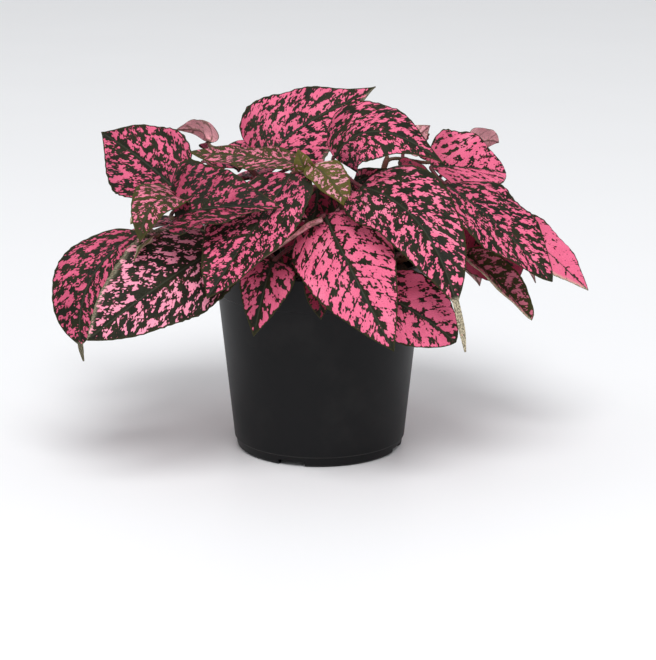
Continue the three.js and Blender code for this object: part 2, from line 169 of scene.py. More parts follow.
def newTree(name, values):  # with an input for each value: a whole number, a number or a material
    tree = bpy.data.node_groups.new(name, "GeometryNodeTree")
    for way in ("INPUT", "OUTPUT"):
        tree.interface.new_socket("Geometry", in_out=way, socket_type="NodeSocketGeometry")
    for label, value in values.items():
        kind = {int: "Int", float: "Float"}.get(type(value), "Material")
        tree.interface.new_socket(label, in_out="INPUT", socket_type="NodeSocket" + kind)
    graph = Graph(tree)
    return tree, graph, graph.add("NodeGroupInput")


def endTree(graph, parts, finishes):  # finishes: each material and the faces it covers, or None for all
    body = graph.add("GeometryNodeRealizeInstances", None, {0: join(graph, parts)})
    for material, faces in finishes:
        sockets = {"Geometry": body, "Material": material}
        if faces is not None:
            sockets["Selection"] = faces
        body = graph.add("GeometryNodeSetMaterial", None, sockets)
    graph.add("NodeGroupOutput", None, {0: body}, None)


def join(graph, parts):
    node = graph.tree.nodes.new("GeometryNodeJoinGeometry")
    for part in parts:
        graph.tree.links.new(part.socket, node.inputs[0])
    return Wire(graph, node.outputs[0])


def number(graph, name):
    return graph.add("GeometryNodeInputNamedAttribute", {"data_type": "FLOAT"}, {"Name": name})


def arrow(graph, name):
    return graph.add("GeometryNodeInputNamedAttribute", {"data_type": "FLOAT_VECTOR"}, {"Name": name})


def store(graph, geometry, name, value):
    kind = "FLOAT_VECTOR" if isWide(value) else "FLOAT"
    sockets = {"Geometry": geometry, "Name": name, "Value": value}
    return graph.add("GeometryNodeStoreNamedAttribute", {"data_type": kind}, sockets)


def moved(graph, geometry, place):
    return graph.add("GeometryNodeSetPosition", None, {"Geometry": geometry, "Position": place})


def randomOf(graph, low, high, seed):  # a vector between two others
    sockets = {0: low, 1: high, "Seed": seed}
    return graph.add("FunctionNodeRandomValue", {"data_type": "FLOAT_VECTOR"}, sockets)


def copied(graph, points, shape, ways=None):  # the shape itself at each point; ways: its rotation and scale
    sockets = {"Points": points, "Instance": shape, **(ways or {})}
    shape = graph.add("GeometryNodeInstanceOnPoints", None, sockets)
    return graph.add("GeometryNodeRealizeInstances", None, {0: shape})


def tube(graph, line, radius, sides):
    ring = graph.add("GeometryNodeCurvePrimitiveCircle", None, {"Resolution": sides, "Radius": 1.0})
    sockets = {"Curve": line, "Profile Curve": ring, "Scale": radius, "Fill Caps": True}
    return graph.add("GeometryNodeCurveToMesh", None, sockets)


def grow(name, mesh, tree, values, kept=()):  # the tree's result on that mesh, as a plain mesh
    source = bpy.data.objects.new(name, mesh)
    scene.collection.objects.link(source)
    modifier = source.modifiers.new("Growth", "NODES")
    modifier.node_group = tree
    for item in tree.interface.items_tree:
        if item.in_out == "INPUT" and item.name in values:
            modifier[item.identifier] = values[item.name]
    depsgraph = bpy.context.evaluated_depsgraph_get()
    result = bpy.data.meshes.new_from_object(source.evaluated_get(depsgraph), depsgraph=depsgraph)
    source.modifiers.clear()
    bpy.data.objects.remove(source)
    for index in reversed(range(len(result.materials))):
        if result.materials[index] is None:
            result.materials.pop(index=index)
    names = [item.name for item in result.attributes if not item.is_internal and not item.is_required]
    for label in names:
        if label not in ("material_index", "sharp_edge", *kept):
            result.attributes.remove(result.attributes[label])
    return result


def addPiece(name, mesh, node, sharp=180):
    mesh.name = name
    piece = bpy.data.objects.new(name, mesh)
    scene.collection.objects.link(piece)
    mesh.shade_smooth()
    mesh.set_sharp_from_angle(angle=math.radians(sharp))
    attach(piece, "root")
    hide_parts(node)
    print("made", name, "with", len(mesh.polygons), "faces")


# Camera, light and floor.
view = {"place": (4.25, -1048.06, 338.65), "tilt": 75, "lens": 120.73, "sensor": 36, "nearest": 10}

camera = bpy.data.objects.new("camera", bpy.data.cameras.new("camera"))
camera.location = Vector(view["place"]) * mm
camera.rotation_euler = (math.radians(view["tilt"]), 0, 0)
camera.data.lens = view["lens"]
camera.data.sensor_width = view["sensor"]
camera.data.sensor_fit = "HORIZONTAL"
camera.data.clip_start = view["nearest"] * mm
scene.collection.objects.link(camera)
scene.camera = camera

studio = {
    "surround": 0.61,
    "sky": (0.985, 0.99, 1.0, 1),
    "floorHalf": 4.0,  # metres
    "floorTones": (srgb(240, 241, 243), srgb(243, 244, 246)),
    "lamps": {  # place and aim in metres, size in metres, watts
        "lampFront": ((0.1, -2.2, 3.2), (0, 0, 0.05), 2.4, 116),
        "lampLeft": ((-1.9, 0.5, 1.0), (0, 0, 0.08), 0.8, 2),
    },
}


def lightStudio():
    world = bpy.data.worlds.new("surround")
    world.use_nodes = True
    backdrop = world.node_tree.nodes["Background"]
    backdrop.inputs["Color"].default_value = studio["sky"]
    backdrop.inputs["Strength"].default_value = studio["surround"]
    scene.world = world
    for name, (place, aim, size, power) in studio["lamps"].items():
        light = bpy.data.lights.new(name, "AREA")
        light.shape = "DISK"
        light.size = size
        light.energy = power
        lamp = bpy.data.objects.new(name, light)
        lamp.location = place
        lamp.rotation_euler = (Vector(place) - Vector(aim)).to_track_quat("Z", "Y").to_euler()
        scene.collection.objects.link(lamp)
    scene.view_settings.view_transform = "Standard"


def makeFloor():
    material, graph, shader = newMaterial("paleFloor", 0.3)
    grain = graph.noise(graph.bodyPlace(), 6.0)
    paint(graph, shader, graph.mix(grain, *studio["floorTones"]), 0.45)
    half = studio["floorHalf"]
    corners = [(-half, -half, 0), (half, -half, 0), (half, half, 0), (-half, half, 0)]
    mesh = bpy.data.meshes.new("floor")
    mesh.from_pydata(corners, [], [(0, 1, 2, 3)])
    mesh.materials.append(material)
    floor = bpy.data.objects.new("floor", mesh)
    scene.collection.objects.link(floor)


lightStudio()
makeFloor()
print("stage ready")

# Pot. The profile's points are (radius, height), from under the floor round the rim to inside.
pot = {
    "profile": [(0, 3.6), (37.4, 3.6), (38, 0), (39.6, 0), (40.9, 1), (41.5, 4.4), (41.6, 5.1), (42.2, 5.3),
                (49.8, 79), (50.7, 79.5), (52.3, 93.6), (52.5, 95.1), (52.1, 96), (51, 96), (48.6, 79),
                (41, 5.2), (0, 5.2)],
    "corner": 0.35,
    "seam": 5.2,
    "wornRim": (94.6, 96),  # heights
    "sizes": {
        "Around": 181,
        "Foot radius": 39.6 * mm,
        "Drains": 4,
        "Drain turn": math.radians(-109.5),
        "Drain width": 13.4 * mm,
        "Drain height": 2.8 * mm,
        "Drain depth": 12 * mm,
        "Slot inset": 5 * mm,  # from the foot in to the slots that go through the floor
        "Slot height": 4.2 * mm,
        "Slot width": 4 * mm,
    },
}
weld = 0.01 * mm


def lineMesh(points):
    mesh = bpy.data.meshes.new("line")
    places = [(radius * mm, 0, height * mm) for radius, height in points]
    mesh.from_pydata(places, [(k, k + 1) for k in range(len(places) - 1)], [])
    return mesh


def softened(points, corner):  # the line with its corners rounded, and a close point beside each
    steps, beside, most = (0, 0.33, 0.67, 1), 1.2, 0.4
    line = [Vector(point) for point in points]
    soft = [line[0]]
    for before, here, after in zip(line, line[1:], line[2:]):
        cut = min(corner, most * (before - here).length, most * (after - here).length)
        back = (before - here).normalized() * cut
        on = (after - here).normalized() * cut
        arc = [here + back * (1 - t) ** 2 + on * t * t for t in steps]
        soft += [here + back * beside, *arc, here + on * beside]
    return soft + [line[-1]]


def turned(graph, line, around):  # the line's points swept round the Z axis, closed at its ends
    count = graph.add("GeometryNodeAttributeDomainSize", {"component": "MESH"}, {"Geometry": line})
    grid = graph.add("GeometryNodeMeshGrid", None,
                     {"Size X": 1.0, "Size Y": 1.0, "Vertices X": around, "Vertices Y": count})
    here = graph.place()
    x, y = graph.parts(here)[:2]
    row = graph.maths("ROUND", (y + 0.5) * (count - 1.0))
    point = graph.add("GeometryNodeSampleIndex", {"data_type": "FLOAT_VECTOR", "domain": "POINT"},
                      {"Geometry": line, "Value": here, "Index": row})
    radius, height = graph.parts(point)[::2]
    angle = (x + 0.5) * (2 * math.pi)
    place = graph.vector(radius * graph.cosine(angle), radius * graph.sine(angle), height)
    skin = moved(graph, grid, place)
    return graph.add("GeometryNodeMergeByDistance", None, {"Geometry": skin, "Distance": weld})


def potTree(values):
    tree, graph, sizes = newTree("turnedPot", values)
    body = turned(graph, sizes, sizes["Around"])
    radius, width, side = (sizes[name] for name in ("Foot radius", "Drain width", "Slot width"))
    drain = graph.vector(sizes["Drain depth"], width, sizes["Drain height"] * 2.0)
    slot = graph.vector(side, width - side, side)
    turn = graph.vector(0.0, 0.0, sizes["Drain turn"])
    cuts = ((radius, drain, 0.0), (radius - sizes["Slot inset"], slot, sizes["Slot height"]))
    for reach, size, height in cuts:
        ring = graph.add("GeometryNodeMeshCircle", None, {"Vertices": sizes["Drains"], "Radius": reach})
        outward = graph.add("FunctionNodeAlignRotationToVector", {"axis": "X"}, {"Vector": graph.place()})
        box = graph.add("GeometryNodeMeshCube", None, {"Size": size})
        sockets = {"Points": ring, "Instance": box, "Rotation": outward}
        box = graph.add("GeometryNodeInstanceOnPoints", None, sockets)
        box = graph.add("GeometryNodeTransform", None,
                        {"Geometry": box, "Translation": graph.vector(0.0, 0.0, height), "Rotation": turn})
        box = graph.add("GeometryNodeRealizeInstances", None, {0: box})
        body = graph.add("GeometryNodeMeshBoolean", {"operation": "DIFFERENCE", "solver": "EXACT"},
                         {"Mesh 1": body, "Mesh 2": box})
    endTree(graph, [body], [(sizes["Plastic"], None)])
    return tree


def makePlastic():
    material, graph, shader = newMaterial("potPlastic", 0.18)
    place = graph.bodyPlace()
    x, y, z = graph.parts(place)
    smudge = graph.noise(place, 28.0, 4.0, 0.6)
    grain = graph.noise(place, 1500.0, 2.0, 0.6)
    scuff = graph.noise(graph.vector(x * 60.0, y * 60.0, z * 700.0), 1.0, 3.0, 0.6)
    dust = graph.ramp(smudge, 0.5, 0.75) * 0.6 + graph.ramp(scuff, 0.66, 0.8) * 0.25
    # paler in patches at the rim's top, and a painted highlight along the seam
    low, high = pot["wornRim"]
    paleRimAndSeamHighlight = graph.ramp(z, low * mm, high * mm) * graph.ramp(smudge, 0.4, 0.6)
    # a thin paler line along the seam: a painted highlight on its small ledge
    paleRimAndSeamHighlight = paleRimAndSeamHighlight + graph.bell(z - pot["seam"] * mm, 0.3 * mm) * 0.7
    colour = graph.mix(dust, srgb(12, 12, 14), srgb(30, 29, 29))
    colour = graph.mix(paleRimAndSeamHighlight, colour, srgb(56, 54, 53))
    paint(graph, shader, colour, 0.36 + smudge * 0.16 + grain * 0.06)
    emboss(graph, shader, grain + scuff * 0.5, 0.5, 0.02)
    return material


def makePot():
    sizes = {**pot["sizes"], "Plastic": makePlastic()}
    line = lineMesh(softened(pot["profile"], pot["corner"]))
    addPiece("nurseryPot", grow("potProfile", line, potTree(sizes), sizes), "pot", 40)


makePot()
print("pot turned")

# Soil: a lumpy bed in the pot, with crumbs, bark and white grains lying on it.
soilBed = {
    "surface": 85,
    "mound": 3,
    "lump": 0.7,
    "crumble": 3.0,
    "fade": 0.1,  # how far below the surface the lumps end
    "radius": 48.6,
    "edge": 48,
    "profile": [(0, 5.7), (40.5, 5.7), (48.1, 79), (48.2, 83)],
    "rings": 40,
    "sizes": {
        "Around": 121,
        "Crumbs": 260000.0,  # on a square metre
        "Crumb size": 1.1 * mm,
        "Bark": 26000.0,
        "Bark length": 4.5 * mm,
        "White grains": 14000.0,
        "Grain size": 1.2 * mm,
    },
}


def lumps(x, y, unit, sine, cosine):  # of numbers or wires; unit: how much of x and y is a millimetre
    wide = sine(x * (0.31 / unit) + 1.3) * cosine(y * (0.27 / unit))
    return wide + sine(y * (0.53 / unit) - x * (0.4 / unit)) * 0.6


def soilHeight(x, y):
    share = math.hypot(x, y) / soilBed["radius"]
    lump = soilBed["lump"] * lumps(x, y, 1, math.sin, math.cos)
    return soilBed["surface"] + soilBed["mound"] * (1 - share * share) + lump


def soilTree(values):
    tree, graph, sizes = newTree("soilBed", values)
    body = turned(graph, sizes, sizes["Around"])
    place = graph.place()
    x, y, z = graph.parts(place)
    flat = graph.vector(x, y, 0.0)
    share = graph.maths("LENGTH", flat) / (soilBed["radius"] * mm)
    lump = lumps(x, y, mm, graph.sine, graph.cosine) * soilBed["lump"]
    rough = (graph.noise(flat, 260.0, 4.0, 0.65) - 0.5) * soilBed["crumble"]
    height = (1.0 - share * share) * (soilBed["mound"] * mm) + (lump + rough) * mm
    top = soilBed["surface"]
    isTop = graph.ramp(z, (top - soilBed["fade"]) * mm, top * mm)
    body = moved(graph, body, place + graph.vector(0.0, 0.0, height * isTop))

    grain = graph.add("GeometryNodeMeshIcoSphere", None, {"Radius": 0.5, "Subdivisions": 1})
    chip = graph.add("GeometryNodeMeshCube", None, {"Size": (1, 1, 1)})
    kinds = (  # how many, size, shape, smallest and largest share of the size, seed
        ("Crumbs", "Crumb size", grain, (0.5, 0.5, 0.4), (1.3, 1.2, 0.9), 3),
        ("Bark", "Bark length", chip, (0.5, 0.16, 0.1), (1.1, 0.3, 0.2), 5),
        ("White grains", "Grain size", grain, (0.5, 0.5, 0.5), (1.2, 1.1, 1.0), 8),
    )
    upward = graph.above(graph.parts(graph.add("GeometryNodeInputNormal"))[2], 0.5)
    parts = [body]
    for kind, (density, size, shape, low, high, seed) in enumerate(kinds):
        points = graph.add("GeometryNodeDistributePointsOnFaces", None,
                           {"Mesh": body, "Selection": upward, "Density": sizes[density], "Seed": seed})
        tilt = randomOf(graph, (-0.5, -0.5, 0.0), (0.5, 0.5, 6.28), seed + 1)
        scale = randomOf(graph, low, high, seed + 2) * sizes[size]
        lump = copied(graph, points, shape, {"Rotation": tilt, "Scale": scale})
        parts.append(store(graph, lump, "kind", float(kind)))
    kind = number(graph, "kind")
    endTree(graph, parts, [(sizes["Peat"], None),
                           (sizes["Bark face"], graph.above(kind, 0.5)),
                           (sizes["White face"], graph.above(kind, 1.5))])
    return tree


def makeEarth(name, dark, light, scale, roughness):
    material, graph, shader = newMaterial(name, 0.25)
    place = graph.bodyPlace()
    speck = graph.noise(place, scale, 4.0, 0.7)
    damp = graph.noise(place, 90.0)
    paint(graph, shader, graph.mix(graph.ramp(speck, 0.35, 0.68), dark, light), roughness + damp * 0.15)
    emboss(graph, shader, speck, 0.8, 0.3)
    return material


def makeSoil():
    sizes = {
        **soilBed["sizes"],
        "Peat": makeEarth("peat", srgb(26, 19, 15), srgb(70, 54, 42), 900.0, 0.8),
        "Bark face": makeEarth("barkChip", srgb(48, 32, 22), srgb(112, 82, 56), 500.0, 0.72),
        "White face": makeEarth("whiteGrain", srgb(178, 172, 160), srgb(226, 222, 212), 1400.0, 0.75),
    }
    rings = soilBed["rings"]
    top = [(soilBed["edge"] * (1 - k / rings), soilBed["surface"]) for k in range(rings + 1)]
    mesh = grow("soilProfile", lineMesh(soilBed["profile"] + top), soilTree(sizes), sizes)
    addPiece("soilBed", mesh, "soil", 50)


makeSoil()
print("soil laid")

# Leafy stems. Each has its foot on the soil, the points that it grows through, and its leaves.
# start: how far up its stem the petiole leaves. base, mid and tip: the midrib. face: the way the upper
# side looks at mid. pink: share of the face that is pink. seed: picks the blotches.
# fold: degrees that each half rises. cup: how far the margins sink. hook: how far the tip turns up.
# tail: share of the length that is a drawn-out tip. broad and taper: how slowly the outline opens and
# closes. arch: how far the petiole is lifted. blush: -1 for crimson islands and 1 for pale ones. veins:
# how dark the side veins are. young: 0 for a full-grown leaf and 1 for one just opened. pale: how
# bleached the right margin is. paleTip: how bleached the drawn-out tip is.
leafRow = ("start", "base", "mid", "tip", "face", "width", "pink", "seed")
usualLeaf = {"fold": 6, "cup": 0, "hook": 0, "tail": 0, "broad": 0.5, "taper": 1, "arch": 0,
             "blush": 0, "veins": 0, "young": 0, "pale": 0, "paleTip": 0}


def leaf(*row, **ways):
    return {**usualLeaf, **dict(zip(leafRow, row)), **ways}


def stem(foot, path, *leaves):
    return {"foot": foot, "path": path, "leaves": leaves}


leafyStems = {
    "leafy_stem_centre": stem(
        (1, -9), [(-1, -14, 110), (-4, -21, 130), (-5, -25, 138)],
        leaf(0.97, (-8, -24, 146), (-32, -14, 147), (-62, -6, 148), (0, -0.2, 0.97), 28, 0.43, 1,
             fold=0, taper=0.7, young=0.35, blush=-0.2),
        leaf(0.99, (-3, -30, 146), (6, -40, 140), (14, -45, 128), (0.35, -0.75, 0.6), 20, 0.42, 2,
             fold=10, young=0.9),
        leaf(0.8, (-13, -31, 142), (-33, -70, 119), (-50, -92, 97), (-0.3, -0.6, 0.74), 46, 0.47, 3, fold=10),
        leaf(1, (-5, -29, 142), (-8, -30, 147), (-10, -26, 153), (-0.6, -0.7, 0.3), 11, 0.3, 4,
             fold=0, young=1),
        # blush -1: this inner leaf's deep crimson is painted shade
        leaf(0.75, (-1, -22, 133), (-1, -27, 127), (-4, -31, 118), (0, -0.9, 0.4), 22, 0.5, 5,
             fold=0, blush=-1),
        leaf(0.5, (-1, 4, 113), (-5, 16, 114), (-10, 29, 106), (0, 0.1, 1), 24, 0.6, 49, fold=0)
    ),
    "leafy_stem_left": stem(
        (-19, -6), [(-38, -14, 106), (-54, -26, 119), (-62, -36, 129)],
        leaf(0.96, (-69, -12, 131), (-86, 5, 142), (-107, 20, 153), (0, -0.85, 0.5), 44, 0.52, 6,
             fold=8, taper=1.1, broad=0.65, blush=-0.25, veins=0.15),
        leaf(0.97, (-66, -56, 126.5), (-46, -59, 131.5), (-17, -60, 132), (0, -0.54, 0.84), 50, 0.45, 7,
             fold=25, broad=0.3, blush=-0.5),
        leaf(1, (-64, -46, 134), (-75, -66, 135), (-81, -75, 119), (-0.25, -0.8, 0.55), 24, 0.48, 8,
             fold=8, blush=-0.2, young=0.3),
        leaf(0.4, (-56, -2, 108), (-74, -1, 108), (-92, 2, 98), (-0.2, 0, 0.95), 32, 0.55, 50)
    ),
    "leafy_stem_far_left": stem(
        (-27, -16), [(-46, -28, 102), (-62, -32, 108), (-72, -30, 110)],
        leaf(0.97, (-86, -26, 113), (-108.5, -46, 91), (-111, -50, 56), (-0.35, -0.8, 0.5), 37, 0.5, 9,
             fold=8, tail=0.1, broad=0.75, taper=0.8, paleTip=0.3, blush=-0.35),
        leaf(0.45, (-44, -42, 111), (-73, -72, 98), (-105, -86, 76), (-0.15, -0.85, 0.5), 49, 0.47, 10,
             taper=0.9, blush=0.8, pale=0.45, veins=0.3),
        leaf(0.8, (-77, -61, 118), (-81, -68, 115.5), (-84, -74, 110), (-0.2, 0.5, 0.8), 10, 0.3, 11,
             fold=0, young=0.8, pale=1),
        leaf(0.9, (-84, -18, 116), (-87, -20, 118), (-90, -22, 116), (0, -0.5, 0.8), 8, 0.3, 12,
             fold=0, young=0.8, pale=1),
        leaf(0.35, (-58, -20, 95), (-77, -27, 91), (-92, -34, 75), (-0.4, -0.2, 0.9), 32, 0.6, 51)
    ),
    "leafy_stem_back_left": stem(
        (-12, 12), [(-20, 14, 116), (-34, 14, 136), (-44, 14, 145)],
        leaf(0.8, (-26, 8, 142), (-4, 18, 159), (28, 25, 172), (-0.1, -0.75, 0.65), 51, 0.56, 13,
             fold=5, broad=0.35, hook=5, taper=1.15, pale=0.35, veins=0.1),
        leaf(0.98, (-54, 15, 148.5), (-58, 22, 153.5), (-71, 30, 152.5), (0.1, 0.85, 0.6), 18, 0.9, 14,
             fold=0, broad=0.4, blush=0.6, veins=0.4),
        leaf(0.7, (-27, 24, 139), (-37, 32, 143), (-48, 36, 142), (0, -0.3, 0.95), 24, 0.6, 15, fold=0),
        leaf(0.4, (-32, 12, 118), (-50, 16, 119), (-70, 22, 110), (0, 0, 1), 32, 0.5, 52),
        leaf(0.9, (-40, 30, 133), (-46, 46, 133), (-52, 64, 125), (-0.1, 0.3, 0.95), 32, 0.65, 53),
        leaf(0.35, (-27, 31, 114), (-39, 44, 115), (-53, 57, 106), (-0.1, 0.2, 1), 26, 0.55, 63, fold=0)
    ),
    "leafy_stem_centre_right": stem(
        (14, -6), [(12, -9, 116), (9, -12, 136), (7, -12, 144)],
        leaf(0.96, (7, -14, 147), (28, -24, 161), (59, -34, 147), (0.15, -0.62, 0.77), 44, 0.5, 16,
             fold=0, cup=0.06, broad=0.6, taper=1.35, veins=0.1),
        leaf(0.85, (20, -36, 137), (50, -74, 121), (66, -95, 73), (0.25, -0.85, 0.5), 44, 0.48, 17,
             tail=0.18, broad=0.32, taper=0.8, blush=0.25, paleTip=1, veins=0.25),
        leaf(0.75, (16, -6, 133), (22, -10, 136), (32, -12, 141), (0, -0.8, 0.6), 12, 0.5, 18, fold=0),
        leaf(0.6, (11, 5, 125), (16, 15, 126), (22, 28, 120), (0.1, 0.1, 1), 28, 0.5, 54, fold=0, young=0.3),
        leaf(0.3, (20, -20, 112), (34, -30, 112), (48, -40, 104), (0.2, -0.3, 0.9), 28, 0.6, 55)
    ),
    "leafy_stem_right": stem(
        (24, 2), [(38, 0, 112), (50, -8, 127), (57, -12, 136)],
        leaf(0.98, (54, -8, 141), (72, 0, 139), (91, 8, 135), (0.1, -0.6, 0.8), 42, 0.7, 19,
             fold=16, taper=0.7, blush=0.1),
        leaf(0.93, (60, -26, 136), (83, -46, 121), (108, -60, 97), (0.35, -0.5, 0.8), 43, 0.48, 20,
             taper=0.8),
        leaf(0.8, (42, 25, 143), (47, 30, 148), (55, 34, 154), (0.2, 0.9, 0.3), 16, 0.8, 21, fold=0),
        leaf(0.9, (68, 22, 139), (80, 28, 147), (89, 30, 146), (-0.1, 0.75, 0.6), 22, 0.95, 22,
             fold=0, blush=0.5),
        leaf(0.6, (92, 8, 113), (114, 5, 94.5), (132, 0, 78), (0.45, -0.6, 0.66), 27, 0.9, 23,
             pale=0.8, blush=0.1),
        # blush -1: this inner leaf's deep crimson is painted shade
        leaf(0.7, (39, 2, 139), (48, 6, 136), (57, 8, 130), (0, -0.5, 0.85), 16, 0.7, 24, fold=0, blush=-1),
        leaf(0.45, (70, 22, 106), (92, 32, 98), (110, 40, 72), (0.5, 0.1, 0.86), 42, 0.6, 25),
        leaf(0.75, (62, 12, 124), (79, 18, 124), (96, 23, 115), (0.1, 0, 1), 32, 0.5, 56),
        leaf(0.4, (56, 0, 101), (76, -8, 99), (94, -16, 84), (0.25, -0.1, 0.95), 34, 0.6, 57),
        leaf(0.25, (28, 10, 104), (37, 21, 107), (45, 34, 101), (0.1, 0.1, 1), 24, 0.6, 62, fold=0)
    ),
    "leafy_stem_right_low": stem(
        (27, -15), [(44, -24, 101), (58, -28, 106), (66, -27, 112)],
        # blush -0.9: this leaf's dark crimson is painted shade for the shadow under its neighbour
        leaf(0.97, (65, -22, 121), (81, -28, 107), (94, -30, 90), (-0.3, -0.8, 0.5), 34, 0.9, 26,
             fold=8, taper=0.7, blush=-0.9, veins=0.8),
        leaf(0.9, (68, -36, 105), (83, -44, 94), (100, -50, 76), (0.3, -0.7, 0.65), 20, 0.5, 27,
             fold=40, taper=0.6, pale=0.9, blush=-0.4, young=0.3),
        leaf(0.3, (25, -57, 92), (44, -69, 85), (63, -75, 72), (0.1, -0.95, 0.3), 34, 0.76, 28,
             fold=5, taper=0.7, arch=6, blush=-0.1, veins=0.6)
    ),
    "leafy_stem_front": stem(
        (-3, -25), [(-4, -32, 104), (-2, -36, 114), (-1, -37, 120)],
        leaf(0.95, (3, -40, 124), (16, -75, 104), (34, -94, 73), (-0.05, -0.93, 0.35), 46, 0.72, 29,
             blush=0.1, veins=0.7),
        leaf(0.5, (-21, -54, 105), (-25, -66, 95), (-30, -72, 74), (-0.1, -0.95, 0.28), 26, 0.7, 30,
             fold=10, blush=-0.25, veins=0.8),
        # blush -1: this inner leaf's deep crimson is painted shade
        leaf(0.3, (5, -50, 104), (1, -63, 94), (1, -68, 81), (-0.3, -0.9, 0.3), 18, 0.6, 31,
             fold=0, blush=-1),
        leaf(0.9, (1, -50, 125), (-15, -60, 116), (-33, -65, 104), (-0.5, 0.3, 0.8), 12, 0.6, 32,
             fold=8, pale=0.8),
        # blush -1: this inner leaf's deep crimson is painted shade
        leaf(0.75, (-2, -32, 117), (-9, -39, 109), (-15, -46, 98), (-0.2, -0.8, 0.55), 24, 0.5, 33,
             fold=0, blush=-1)
    ),
    "leafy_stem_back_right": stem(
        (15, 20), [(22, 28, 108), (30, 34, 126), (34, 35, 138)],
        leaf(0.97, (30, 42, 144), (37, 64, 142), (44, 90, 131), (0.05, 0.1, 0.99), 42, 0.55, 34),
        leaf(0.9, (56, 42, 134), (73, 60, 132), (87, 80, 122), (0.1, 0.05, 0.99), 38, 0.6, 35),
        leaf(0.45, (38, 54, 111), (50, 80, 105), (58, 97, 80), (0.3, 0.5, 0.82), 42, 0.5, 36),
        leaf(0.55, (50, 42, 112), (75, 58, 109), (97, 76, 88), (0.4, 0.2, 0.86), 42, 0.65, 37),
        leaf(0.35, (22, 54, 108), (18, 80, 103), (21, 98, 78), (0, 0.5, 0.85), 40, 0.55, 38),
        leaf(0.2, (46, 46, 98), (68, 62, 88), (84, 74, 62), (0.4, 0.5, 0.75), 40, 0.5, 39),
        leaf(0.6, (44, 22, 119), (58, 35, 121), (74, 49, 116), (0.1, 0.1, 1), 30, 0.55, 58),
        leaf(0.75, (16, 44, 122), (16, 62, 120), (17, 82, 108), (0, 0.3, 0.95), 34, 0.65, 59),
        leaf(0.7, (62, 54, 118), (77, 67, 115), (92, 82, 100), (0.2, 0.3, 0.9), 32, 0.5, 60)
    ),
    "leafy_stem_back": stem(
        (-4, 25), [(-6, 34, 108), (-9, 38, 128), (-10, 36, 141)],
        leaf(0.97, (-10, 42, 146), (-12, 66, 143), (-15, 94, 133), (0, 0.1, 0.99), 42, 0.5, 40),
        leaf(0.75, (-28, 44, 126), (-45, 62, 122), (-59, 84, 111), (-0.2, 0.1, 0.97), 40, 0.6, 41),
        leaf(0.35, (-14, 56, 109), (-26, 80, 104), (-34, 98, 80), (-0.15, 0.5, 0.85), 42, 0.55, 42),
        leaf(0.2, (2, 54, 101), (0, 76, 93), (-4, 94, 68), (0.05, 0.6, 0.8), 40, 0.7, 43),
        leaf(0.25, (-24, 48, 103), (-46, 67, 98), (-60, 87, 74), (-0.4, 0.4, 0.82), 40, 0.5, 44),
        leaf(0.55, (-10, 46, 117), (-12, 61, 118), (-14, 76, 111), (0, 0.2, 1), 26, 0.6, 61, fold=0)
    ),
    "leafy_stem_far_back_left": stem(
        (-23, 15), [(-34, 24, 98), (-50, 32, 110), (-60, 36, 124)],
        leaf(0.97, (-70, 42, 129), (-88, 60, 127), (-101, 80, 115), (-0.15, 0.1, 0.98), 40, 0.6, 45),
        leaf(0.4, (-66, 38, 104), (-95, 45, 97), (-129, 50, 78), (-0.35, 0.15, 0.92), 40, 0.5, 46),
        leaf(0.3, (-56, 40, 97), (-79, 53, 87), (-99, 66, 63), (-0.4, 0.5, 0.75), 40, 0.6, 47, arch=4),
        leaf(0.3, (-62, 22, 98), (-88, 14, 92), (-110, 6, 68), (-0.5, -0.1, 0.85), 38, 0.5, 48)
    ),
}

shoot = {
    "upright": (-18, -4, 3),  # heights about the soil's surface
    "soilShare": 0.34,
    "radiusLow": 2.1,
    "radiusHigh": 1.2,
    "rings": 60,
    "nodeSwell": 0.45,
    "nodeLength": 2.2,
    "tipLength": 1.6,
    "tipShare": 0.2,
    "rootPull": 0.3,  # of the petiole's reach
    "basePull": 0.35,
    "rootSwell": 0.5,
}
blade = {
    "Blade thickness": 0.45 * mm,
    "Margin thickness": 0.22 * mm,
    "Rib height": 0.6 * mm,
    "Margin wave": 0.07,
    "Margin teeth": 0.012,
    "Vein spacing": 8.5 * mm,
    "Quilting": 0.3 * mm,
    "Petiole radius": 0.9 * mm,
    "Hairs": 300000.0,  # on a square metre of stem and petiole
    "Hair length": 0.8 * mm,
    "Hair radius": 0.06 * mm,
    "Hair seed": 4,
    "Stem sides": 14,
    "Petiole sides": 10,
    "Petiole rings": 18,
    "Columns": 33,
    "Rows": 61,
}
form = {  # lengths in millimetres, and shares
    "crowdAcross": 1.2,  # powers that draw points towards the midrib and the base
    "crowdAlong": 1.3,
    "hookFrom": 0.7,
    "tipWidth": 0.03,
    "tailWidth": 0.075,
    "toothSpacing": 4.2,
    "wander": 0.09,
    "waves": 15.0,
    "ripple": 0.16,
    "crease": 0.004,
    "veinSlope": 0.75,
    "veinBend": 12.0,
    "grooveDepth": 0.35,
    "grooveWidth": 1.1,
    "ribWidth": 0.75,
    "stalkReach": 5,
}


def stemPoint(points, t):  # a centripetal Catmull-Rom curve through the points, t from 0 to 1
    place = t * (len(points) - 1)
    k = min(int(place), len(points) - 2)
    weight = place - k
    near, far = points[k], points[k + 1]
    before = points[k - 1] if k > 0 else near * 2 - far
    after = points[k + 2] if k + 2 < len(points) else far * 2 - near
    one, two, three = (math.sqrt((b - a).length) for a, b in ((before, near), (near, far), (far, after)))
    enter = ((near - before) / one - (far - before) / (one + two) + (far - near) / two) * two
    leave = ((far - near) / two - (after - near) / (two + three) + (after - far) / three) * two
    cubic = near * 2 - far * 2 + enter + leave
    square = far * 3 - near * 3 - enter * 2 - leave
    return near + enter * weight + square * weight ** 2 + cubic * weight ** 3


